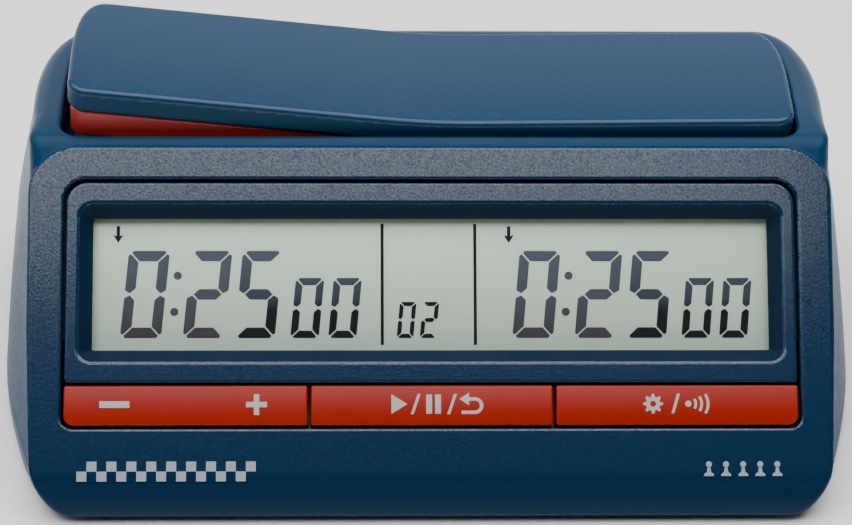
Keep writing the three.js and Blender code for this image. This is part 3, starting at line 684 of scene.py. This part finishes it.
def turned(name, profile, steps, place, skin):
    """A body of revolution: profile of (radius, height), place maps (a, b, height) to row millimetres."""
    points = []
    faces = []
    for r, h in profile:
        for i in range(steps):
            turn = 2 * math.pi * i / steps
            points.append(place(r * math.cos(turn), r * math.sin(turn), h))
    for k in range(len(profile) - 1):
        for i in range(steps):
            j = (i + 1) % steps
            faces.append((k * steps + i, k * steps + j, (k + 1) * steps + j, (k + 1) * steps + i))
    faces.append(tuple(reversed(range(steps))))
    last = (len(profile) - 1) * steps
    faces.append(tuple(range(last, last + steps)))
    mesh = bpy.data.meshes.new(name)
    mesh.from_pydata([tuple(c * MM for c in p) for p in points], [], faces)
    mesh.validate()
    bm = bmesh.new()
    bm.from_mesh(mesh)
    bmesh.ops.recalc_face_normals(bm, faces=bm.faces[:])
    bm.to_mesh(mesh)
    bm.free()
    mesh.shade_smooth()
    mesh.set_sharp_from_angle(angle=math.radians(40))
    piece = show(name, mesh)
    mesh.materials.append(skin)
    return piece


# ---------------------------------------------------------------- flat print and display marks

def marks(name, shapes, height, skin, low=0.04, thick=0.09, strip=0.5):
    """Thin raised shapes on the face; height gives the surface under each point (across, up)."""
    bm = bmesh.new()
    for shape in shapes:
        bm.faces.new([bm.verts.new((x, y, 0)) for x, y in shape])
    bmesh.ops.remove_doubles(bm, verts=bm.verts[:], dist=1e-5)
    bmesh.ops.recalc_face_normals(bm, faces=bm.faces[:])
    ups = [v.co.y for v in bm.verts]
    for cut in np.arange(min(ups) + strip, max(ups), strip):
        geom = bm.verts[:] + bm.edges[:] + bm.faces[:]
        bmesh.ops.bisect_plane(bm, geom=geom, plane_co=(0, cut, 0), plane_no=(0, 1, 0))
    for face in bm.faces:
        if face.normal.z < 0:
            face.normal_flip()
    base = list(bm.verts)
    raised = bmesh.ops.extrude_face_region(bm, geom=bm.faces[:])
    for v in raised["geom"]:
        if isinstance(v, bmesh.types.BMVert):
            v.co.z = 1
    for v in base:
        v.co.z = 0
    bmesh.ops.recalc_face_normals(bm, faces=bm.faces[:])
    mesh = bpy.data.meshes.new(name)
    bm.to_mesh(mesh)
    bm.free()
    points = np.array([v.co[:] for v in mesh.vertices])
    points[:, 2] = height(points[:, 0], points[:, 1]) - low + points[:, 2] * thick
    mesh.vertices.foreach_set("co", (to_row(points) * MM).astype(np.float32).ravel())
    piece = show(name, mesh)
    mesh.materials.append(skin)
    return piece


def circle(cx, cy, r, steps=24):
    return [(cx + r * math.cos(2 * math.pi * i / steps), cy + r * math.sin(2 * math.pi * i / steps))
            for i in range(steps)]


def bar(x0, y0, x1, y1, lean=0.0):
    return [(x0, y0), (x1, y0), (x1 + lean, y1), (x0 + lean, y1)]


def ribbon(centre, half_width):
    """Quads of a stroke along a polyline."""
    centre = np.array(centre, float)
    way = np.gradient(centre, axis=0)
    way /= np.linalg.norm(way, axis=1)[:, None]
    side = np.stack([-way[:, 1], way[:, 0]], 1) * half_width
    a, b = centre + side, centre - side
    return [[tuple(b[i]), tuple(b[i + 1]), tuple(a[i + 1]), tuple(a[i])] for i in range(len(a) - 1)]


def arc(cx, cy, r, start, end, steps):
    turns = np.radians(np.linspace(start, end, steps))
    return [(cx + r * math.cos(t), cy + r * math.sin(t)) for t in turns]


def ring(outer, inner):
    n = len(outer)
    return [[inner[i], outer[i], outer[(i + 1) % n], inner[(i + 1) % n]] for i in range(n)]


SEGMENTS = {
    "0": "abcdef", "2": "abged", "5": "afgcd",
}


def digit(character, x0, y0, width, height, thick, gap, slant):
    """The lit segments of one seven-segment digit, leaning to the right."""
    w, h, t, k = width, height, thick, gap / 2
    m = h / 2
    cut = 0.22 * t
    upright = [(0, m + k + 0.3 * t), (t / 2, m + 1.2 * k), (t, m + k + 0.5 * t), (t, h - t - 1.4 * k),
               (cut, h - cut - 1.4 * k), (0, h - 1.6 * cut - 1.4 * k)]
    top = [(t + k, h - t), (w - t - k, h - t), (w - 1.4 * k - cut, h - cut), (w - 1.4 * k - 1.6 * cut, h),
           (1.4 * k + 1.6 * cut, h), (1.4 * k + cut, h - cut)]
    middle = [(t / 2 + 1.4 * k, m), (t + 1.4 * k, m - t / 2), (w - t - 1.4 * k, m - t / 2),
              (w - t / 2 - 1.4 * k, m), (w - t - 1.4 * k, m + t / 2), (t + 1.4 * k, m + t / 2)]
    shapes = {
        "a": top,
        "f": upright,
        "b": [(w - x, y) for x, y in upright],
        "e": [(x, h - y) for x, y in upright],
        "c": [(w - x, h - y) for x, y in upright],
        "d": [(x, h - y) for x, y in top],
        "g": middle,
    }
    return [[(x0 + x + slant * y, y0 + y) for x, y in shapes[s]] for s in SEGMENTS[character]]


# ---------------------------------------------------------------- display

DISPLAY_HALF, DISPLAY_LOW, DISPLAY_HIGH = 65.2, 27.4, 54.8
LCD_BACK = -6.5
LENS_BACK, LENS_FRONT = -4.4, -3.5
DIGIT_FOOT = 31.02
SLANT = math.tan(math.radians(5.4))


def shade_up(tree, stops):
    """Colour by height up the face, for light and shade painted up the display; stops are (millimetres up,
    colour).
    """
    where = tree.nodes.new("ShaderNodeTexCoord")
    dot = tree.nodes.new("ShaderNodeVectorMath")
    dot.operation = "DOT_PRODUCT"
    dot.inputs[1].default_value = (0, FACE_COS, FACE_SIN)
    tree.links.new(where.outputs["Object"], dot.inputs[0])
    origin = (FACE_FOOT_Y * FACE_COS + FACE_FOOT_Z * FACE_SIN) * MM
    first, last = stops[0][0], stops[-1][0]
    span = tree.nodes.new("ShaderNodeMapRange")
    span.inputs["From Min"].default_value = origin + first * MM
    span.inputs["From Max"].default_value = origin + last * MM
    tree.links.new(dot.outputs["Value"], span.inputs["Value"])
    ramp = tree.nodes.new("ShaderNodeValToRGB")
    elements = ramp.color_ramp.elements
    while len(elements) < len(stops):
        elements.new(0.5)
    for element, (up, colour) in zip(elements, stops):
        element.position = (up - first) / (last - first)
        element.color = (*colour, 1)
    tree.links.new(span.outputs["Result"], ramp.inputs["Fac"])
    return ramp.outputs["Color"]


def shaded(name, stops, rough, vary=0.04, gloss=0.5):
    """A material whose colour runs up the face as painted light and shade, with a faint mottle and fine
    grain.
    """
    material, tree, bsdf = shader(name)
    bsdf.inputs["Specular IOR Level"].default_value = gloss
    colour = shade_up(tree, stops)
    mottle = tint(tree, grain(tree, 220, 3), (1 - vary,) * 3, (1 + vary,) * 3)
    product = tree.nodes.new("ShaderNodeMix")
    product.data_type = "RGBA"
    product.blend_type = "MULTIPLY"
    product.inputs["Factor"].default_value = 1
    tree.links.new(colour, product.inputs["A"])
    tree.links.new(mottle, product.inputs["B"])
    tree.links.new(product.outputs["Result"], bsdf.inputs["Base Color"])
    fine = grain(tree, 2500, 2)
    tree.links.new(spread(tree, fine, rough * 0.9, rough * 1.1), bsdf.inputs["Roughness"])
    add_bump(tree, bsdf, fine, 0.000002)
    return material


# LCD glass: the greenish grey is the glass's own, while its run from darker at the bottom to lighter at the
# top is painted shade and painted reflection.
GLASS_PAINTED_LIGHT = shaded("lcd_glass", (
    (27.4, (0.41, 0.53, 0.42)), (33.0, (0.47, 0.60, 0.48)),
    (44.0, (0.54, 0.68, 0.54)), (54.8, (0.71, 0.85, 0.70)),
), 0.35, vary=0.02)
# Digit ink with painted reflection: the dark segments are lifted to a grey that grows lighter and bluer
# towards the top.
INK_PAINTED_REFLECTION = shaded("lcd_ink_painted_reflection", ((31.0, (0.038, 0.035, 0.043)), (47.0, (0.068, 0.080, 0.108))), 0.5, gloss=0.05)
# Seconds ink: near black at the bottom, then from about 38 mm up the same painted-reflection grey as the
# other digits.
INK_DEEP_PAINTED_REFLECTION = shaded("lcd_ink_deep_painted_reflection", (
    (31.0, (0.002, 0.003, 0.005)), (36.5, (0.003, 0.004, 0.006)), (38.5, (0.030, 0.037, 0.052)),
    (47.0, (0.068, 0.080, 0.108)),
), 0.5, gloss=0.05)

# Black ink for the counter, dividers and arrow, a little lighter and bluer towards the top as a faint
# painted reflection.
INK_BLACK = shaded("lcd_ink_black", (
    (31.0, (0.004, 0.005, 0.007)), (53.0, (0.009, 0.011, 0.016)),
), 0.5, gloss=0.05)

lcd = face_pane("lcd_glass_pane", LCD_BACK, LCD_FACE, 0.3, GLASS_PAINTED_LIGHT)
finish(lcd, "case", "lcd_glass", "lcd_panel")


def lcd_face(x, up):
    return np.full_like(x, LCD_FACE)


def timer(left):
    """Marks of one timer: left is where its first digit's foot starts."""
    grey = digit("0", left, DIGIT_FOOT, 7.75, 16.65, 2.0, 0.3, SLANT)
    grey += digit("2", left + 11.8, DIGIT_FOOT, 7.75, 16.65, 2.0, 0.3, SLANT)
    grey += [circle(left + 10.8, 42.9, 0.79), circle(left + 10.2, 36.0, 0.79)]
    deep = digit("5", left + 21.5, DIGIT_FOOT, 7.65, 16.65, 2.0, 0.3, SLANT)
    deep += digit("0", left + 32.05, DIGIT_FOOT, 5.4, 11.46, 1.4, 0.28, SLANT)
    deep += digit("0", left + 39.2, DIGIT_FOOT, 5.35, 11.46, 1.4, 0.28, SLANT)
    cx = left - 0.5
    arrow = [
        [(cx, 49.2), (cx + 1.0, 50.75), (cx + 0.32, 50.5), (cx - 0.32, 50.5), (cx - 1.0, 50.75)],
        [(cx - 0.32, 50.5), (cx + 0.32, 50.5), (cx + 0.32, 52.4), (cx - 0.32, 52.4)],
    ]
    return grey, deep, arrow


grey_marks = []
deep_marks = []
black_marks = digit("0", -6.5, DIGIT_FOOT, 3.15, 6.87, 0.8, 0.2, SLANT)
black_marks += digit("2", -2.15, DIGIT_FOOT, 3.1, 6.87, 0.8, 0.2, SLANT)
for left in (-58.65, 15.35):
    grey, deep, arrow = timer(left)
    grey_marks += grey
    deep_marks += deep
    black_marks += arrow
for across in (-9.2, 8.4):
    black_marks.append(bar(across - 0.3, 29.69, across + 0.3, 52.86))
for name, shapes, skin in (
    ("lcd_digits", grey_marks, INK_PAINTED_REFLECTION),
    ("lcd_seconds", deep_marks, INK_DEEP_PAINTED_REFLECTION),
    ("lcd_counter", black_marks, INK_BLACK),
):
    finish(marks(name, shapes, lcd_face, skin, 0.0, 0.05, 60), "case", "lcd_ink")


def lens_clear():
    material, tree, bsdf = shader("lens_clear")
    tree.links.new(spread(tree, grain(tree, 300, 2), 0.04, 0.08), bsdf.inputs["Roughness"])
    bsdf.inputs["Base Color"].default_value = (0.04, 0.06, 0.06, 1)
    bsdf.inputs["Alpha"].default_value = 0.04
    return material


lens = face_pane("window_lens_pane", LENS_BACK, LENS_FRONT, 0.15, lens_clear())
finish(lens, "case", "lens_clear", "window_lens")


# ---------------------------------------------------------------- print on the keys and the face

def key_surface(x, up):
    return key_top(up)


def face_surface(x, up):
    return np.zeros_like(x)


minus_plus = [bar(-61.9, 17.25, -56.3, 18.5)]
cx, cy, arm, thick = -32.7, 17.85, 1.95, 0.5
minus_plus += [
    bar(cx - arm, cy - thick, cx - thick, cy + thick), bar(cx - thick, cy - arm, cx + thick, cy + arm),
    bar(cx + thick, cy - thick, cx + arm, cy + thick),
]
loop = [(8.0, 16.35)] + arc(8.0, 17.6, 1.25, -80, 80, 12) + [(8.0, 18.85), (6.9, 18.85)]
play_pause = [
    [(-7.6, 16.05), (-4.6, 17.9), (-7.6, 19.75)],
    bar(-4.0, 16.0, -3.45, 19.8, 1.3),
    bar(-1.1, 16.1, 0.0, 19.7), bar(0.55, 16.1, 1.65, 19.7),
    bar(2.8, 16.0, 3.35, 19.8, 1.3),
    [(5.1, 18.85), (6.9, 17.65), (6.9, 20.05)],
    *ribbon([(5.5, 16.35), (6.6, 16.35)] + loop, 0.32),
]
GEAR_X, ICON_UP = 41.3, 17.9
teeth = []
for i in range(64):
    turn = 2 * math.pi * i / 64
    reach = 1.58 + 0.29 * max(-1, min(1, 2.2 * math.cos(8 * turn)))
    teeth.append((GEAR_X + reach * math.cos(turn), ICON_UP + reach * math.sin(turn)))
settings = [
    *ring(teeth, circle(GEAR_X, ICON_UP, 0.55, 64)),
    bar(44.7, 16.1, 45.25, 19.8, 1.1),
    circle(47.9, ICON_UP, 0.6),
]
for across, half in ((48.9, 0.9), (50.0, 1.35), (51.2, 1.8)):
    reach = half / math.sin(math.radians(32))
    settings += ribbon(arc(across + 0.4 - reach, ICON_UP, reach, -32, 32, 9), 0.26)
for node, shapes in zip(KEY_NAMES, (minus_plus, play_pause, settings)):
    finish(marks(node + "_print", shapes, key_surface, PRINT), node, "print_grey")

square = 33.2 / 18
chequers = [
    bar(-66.0 + i * square, 3.6 + row * square, -66.0 + (i + 1) * square, 3.6 + (row + 1) * square)
    for i in range(18) for row in (0, 1) if (i + row) % 2 == 0
]
pawns = []
for i in range(5):
    cx = 51.6 + i * 3.2
    pawns += [
        [(cx - 0.95, 4.4), (cx + 0.95, 4.4), (cx + 0.85, 4.85), (cx + 0.4, 5.1), (cx + 0.28, 6.0),
         (cx - 0.28, 6.0), (cx - 0.4, 5.1), (cx - 0.85, 4.85)],
        circle(cx, 6.62, 0.56),
    ]
finish(marks("chequer_print", chequers, face_surface, CASE_PRINT, 0.05, 0.1), "case", "print_grey")
finish(marks("pawn_print", pawns, face_surface, CASE_PRINT, 0.05, 0.1), "case", "print_grey")


# ---------------------------------------------------------------- underside

TUB = dict(half=30, front=7.7, back=38.5, roof=19.8, wall=1.6)
COVER_TOP = FOOT_HEIGHT + 2.2
DOOR = dict(half=28.2, tongue=30.4, front=7.7, low=1.7, high=3.7)
FEET = ((-50, -39), (50, -39), (-56, 38), (56, 38))
SCREWS = ((-64, -40.5, 1.9, 4.5), (64, -40.5, 1.9, 4.5), (-70, 34, 4.6, 14), (70, 34, 4.6, 14))
POWER_X, POWER_Y = -50, 4


def slab_field(x, y, z, x0, x1, y0, y1, z0, z1, corner, edge):
    return round_and(rect(x, y, x0, x1, y0, y1, corner), np.abs(z - (z0 + z1) / 2) - (z1 - z0) / 2, edge)


def base_field(x, y, z):
    rim = WALL + 0.35
    outline = round_and(case_plan(np.abs(x), y, np.full_like(z, FOOT_HEIGHT)) + rim,
                        CASE_FRONT + rim + 0.5 - y, 5.5)
    body = round_and(outline, np.abs(z - (FOOT_HEIGHT + COVER_TOP) / 2) - 1.1, 0.4)
    half, front, back, roof, wall = (TUB[k] for k in ("half", "front", "back", "roof", "wall"))
    tub = slab_field(x, y, z, -half - wall, half + wall, front - wall, back + wall, 2.8, roof + wall, 1, 0.5)
    body = np.minimum(body, tub)
    for sx, sy, head, _ in SCREWS[2:]:
        body = np.minimum(body, post(x, y, z, sx, sy, 3.6, 2.8, 11.6))
    inside = rect(x, y, -half, half, front, back, 0.6)
    inside = np.maximum(inside, np.maximum(DOOR["high"] + 0.3 - z, z - roof))
    body = carve(body, inside, 0.25)
    rail = np.maximum(rect(x, y, -DOOR["tongue"] - 0.3, DOOR["tongue"] + 0.3, DOOR["front"] - 0.3, 60, 0.4),
                      np.abs(z - 3.25) - 0.75)
    body = np.maximum(body, -rail)
    mouth = rect(x, y, -DOOR["half"] - 0.3, DOOR["half"] + 0.3, DOOR["front"] - 0.3, 60, 0.8)
    body = carve(body, np.maximum(mouth, z - 3), 0.3)
    for y0, y1 in ((13, 17), (28, 32)):
        port = np.maximum(np.abs(y - (y0 + y1) / 2) - 2, np.abs(z - 12) - 3)
        body = np.maximum(body, -np.maximum(np.abs(x + half + wall / 2) - 1.8, port))
    power_slot = rect(x, y, POWER_X - 3.4, POWER_X + 3.4, POWER_Y - 1.6, POWER_Y + 1.6, 0.5)
    body = carve(body, np.maximum(power_slot, z - COVER_TOP - 1), 0.4)
    for sx, sy, head, _ in SCREWS:
        body = carve(body, post(x, y, z, sx, sy, 3, -1, head + 1.3), 0.3)
        body = np.maximum(body, -post(x, y, z, sx, sy, 1.6, 1, 13))
    for fx, fy in FEET:
        body = carve(body, post(x, y, z, fx, fy, 5.6, -1, FOOT_HEIGHT + 0.6), 0.25)
    return body


base = stand_in("base_cover_skin", "base_cover", base_field, 0.55, 90000)
base.data.materials.append(BASE)
finish(base, "case", "base_blue", "base_cover")


def door_field(x, y, z):
    body = slab_field(x, y, z, -DOOR["half"], DOOR["half"], DOOR["front"], CASE_BACK - 0.2,
                      DOOR["low"], DOOR["high"], 0.8, 0.35)
    tongue = slab_field(x, y, z, -DOOR["tongue"], DOOR["tongue"], DOOR["front"], CASE_BACK - 0.2,
                        2.8, DOOR["high"], 0.5, 0.2)
    body = np.minimum(body, tongue)
    for i in range(5):
        rib = slab_field(x, y, z, -9, 9, 13 + i * 2.4, 14.2 + i * 2.4, 1.1, DOOR["low"] + 0.5, 0.5, 0.4)
        body = round_or(body, rib, 0.2)
    return body


door = stand_in("battery_door_skin", "battery_door", door_field, 0.35, 60000)
door.data.materials.append(BASE)
finish(door, "battery_door", "base_blue", "battery_door")

for number, (fx, fy) in enumerate(FEET):
    top = FOOT_HEIGHT + 0.6
    profile = [
        (0.01, 0), (3.2, 0), (3.6, 0.18), (3.9, 0), (4.7, 0),
        (5.05, 0.1), (5.3, 0.4), (5.3, top), (0.01, top),
    ]
    foot = turned(f"foot_pad_{number + 1}", profile, 64, lambda a, b, h: (fx + a, fy + b, h), RUBBER)
    finish(foot, "case", "rubber_black", f"foot_{number + 1}")


def screw_field(cx, cy, head, reach):
    def field(x, y, z):
        r = np.hypot(x - cx, y - cy)
        cap = round_and(np.maximum(r - 2.6, z - head - 1.2), head + 0.12 * (r / 2.6) ** 2 - z, 0.5)
        turn = 0.18 * np.cos(2 * math.pi * (z - head) / 0.9 - np.arctan2(y - cy, x - cx))
        shank = np.maximum(r - 1.02 + turn, np.maximum(head + 1 - z, z - head - 1.2 - reach))
        a, b = np.abs(x - cx), np.abs(y - cy)
        recess = np.maximum(np.minimum(np.maximum(a - 0.32, b - 1.45), np.maximum(b - 0.32, a - 1.45)),
                            z - head - 0.75)
        return np.minimum(carve(cap, recess, 0.08), shank)
    return field


for number, (sx, sy, head, reach) in enumerate(SCREWS):
    node = f"housing_screw_{number + 1}"
    screw = stand_in(f"case_screw_{number + 1}", node, screw_field(sx, sy, head, reach), 0.13, 20000)
    screw.data.materials.append(STEEL)
    finish(screw, "case", "steel", node)


def slider_field(x, y, z):
    x = x - POWER_X
    body = slab_field(x, y - POWER_Y, z, -3.1, 0.3, -1.3, 1.3, 0.9, 5.4, 0.3, 0.25)
    for cx in (-2.4, -1.4, -0.4):
        body = np.maximum(body, -(np.hypot(x - cx, z - 0.85) - 0.28))
    return body


slider = stand_in("power_slider", "power_switch_knob", slider_field, 0.12, 20000)
slider.data.materials.append(EPOXY)
finish(slider, "power_switch_knob", "chip_black", "power_switch_knob")


# ---------------------------------------------------------------- cells

CELL_PROFILE = (
    (0.01, 0), (6.0, 0), (6.6, 0.15), (6.95, 0.45), (7.1, 0.9),
    (7.1, 48.4), (6.95, 48.9), (6.5, 49.2), (6.0, 49.3),
    (2.75, 49.3), (2.75, 50.2), (2.5, 50.5), (0.01, 50.5),
)


# Each cell's place from front to back and the way it points; all lie at one height.
CELLS = ((15.4, 1), (30.8, -1))
CELL_MIDDLE = 25.75
CELL_HEIGHT = 12.2


def past_sleeve(x, y, z):
    return np.abs(x) > 23.9


for number, (cy, way) in enumerate(CELLS):
    cell = turned(
        f"cell_{number + 1}", CELL_PROFILE, 64,
        lambda a, b, h: (way * (h - CELL_MIDDLE), cy + a, CELL_HEIGHT + b), CELL_SLEEVE,
    )
    cell.data.materials.clear()
    paint(cell, CELL_SLEEVE, (STEEL, past_sleeve))
    finish(cell, "case", "cell_jacket", f"battery_{number + 1}")


# ---------------------------------------------------------------- materials of the inner CAD pieces

INNER = {
    "pcb_screw": STEEL, "rocker_screw": STEEL, "board_screw": STEEL, "power_screw": STEEL,
    "pivot_pin": STEEL, "quartz_crystal": STEEL, "rocker_switch_body": STEEL, "power_switch_body": STEEL,
    "battery_spring": NICKEL, "battery_plate": NICKEL, "battery_bridge": NICKEL,
    "main_pcb": BOARD, "switch_board": BOARD,
    "controller_chip": EPOXY, "filter_capacitor": EPOXY, "buzzer": EPOXY,
    "keypad_membrane": SILICONE, "zebra_strip": SILICONE, "lcd_frame": CREAM, "rocker_switch_knob": CREAM,
    "switch_ribbon": CREAM,
    "battery_lead_black": WIRE_BLACK, "battery_lead_red": WIRE_RED,
}
for node, item in NODES.items():
    for stem, skin in INNER.items():
        if node.startswith(stem):
            item.material_slots[0].material = skin


# ---------------------------------------------------------------- scene

def face_camera():
    """A long lens in front of the clock, a little to its left, looking down at the sloping face."""
    elevation, azimuth, distance = math.radians(39), math.radians(-2), 0.56
    target = Vector((-0.0009, -0.010, 0.03325))
    away = Vector((
        math.cos(elevation) * math.sin(azimuth),
        -math.cos(elevation) * math.cos(azimuth),
        math.sin(elevation),
    ))
    data = bpy.data.cameras.new("camera")
    data.sensor_width = 36
    data.lens = 124.9
    camera = bpy.data.objects.new("camera", data)
    bpy.context.scene.collection.objects.link(camera)
    camera.location = target + away * distance
    right = (Vector((1, 0, 0)) - away * away.x).normalized()
    camera.rotation_euler = Matrix((right, away.cross(right), away)).transposed().to_euler()
    bpy.context.scene.camera = camera


def area_light(name, location, aim, width, height, power):
    data = bpy.data.lights.new(name, "AREA")
    data.shape = "RECTANGLE"
    data.size = width
    data.size_y = height
    data.energy = power
    light = bpy.data.objects.new(name, data)
    bpy.context.scene.collection.objects.link(light)
    light.location = location
    light.rotation_euler = (Vector(location) - Vector(aim)).to_track_quat("Z", "Y").to_euler()


face_camera()
area_light("overhead_key", (0, 0.125, 1.035), (0, 0.125, 0), 1.6, 0.95, 22)
area_light("face_strip", (-0.32, -0.50, 1.035), (-0.32, -0.50, 0), 1.16, 0.31, 4.4)
area_light("back_sweep", (0, 1.3, 0.52), (0, 0, 0.04), 2.6, 0.90, 9.5)
area_light("front_fill", (0, -1.6, 0.13), (0, 0, 0.04), 1.6, 0.2, 0.5)
area_light("left_fill", (-1.3, 0.1, 0.75), (0, 0, 0.03), 1.0, 0.8, 3.5)
area_light("right_fill", (1.3, 0.1, 0.75), (0, 0, 0.03), 1.0, 0.8, 1.5)
world = bpy.data.worlds.new("world")
world.use_nodes = True
world.node_tree.nodes["Background"].inputs[0].default_value = (1, 1, 1, 1)
world.node_tree.nodes["Background"].inputs[1].default_value = 0.02
bpy.context.scene.world = world

floor_mesh = bpy.data.meshes.new("floor")
floor_mesh.from_pydata([(-3, -3, 0), (3, -3, 0), (3, 3, 0), (-3, 3, 0)], [], [(0, 1, 2, 3)])
floor = show("floor", floor_mesh)
floor_mesh.materials.append(plastic("studio_floor", (0.90, 0.90, 0.895), 0.9, 3.0, 0.0, vary=0.003))
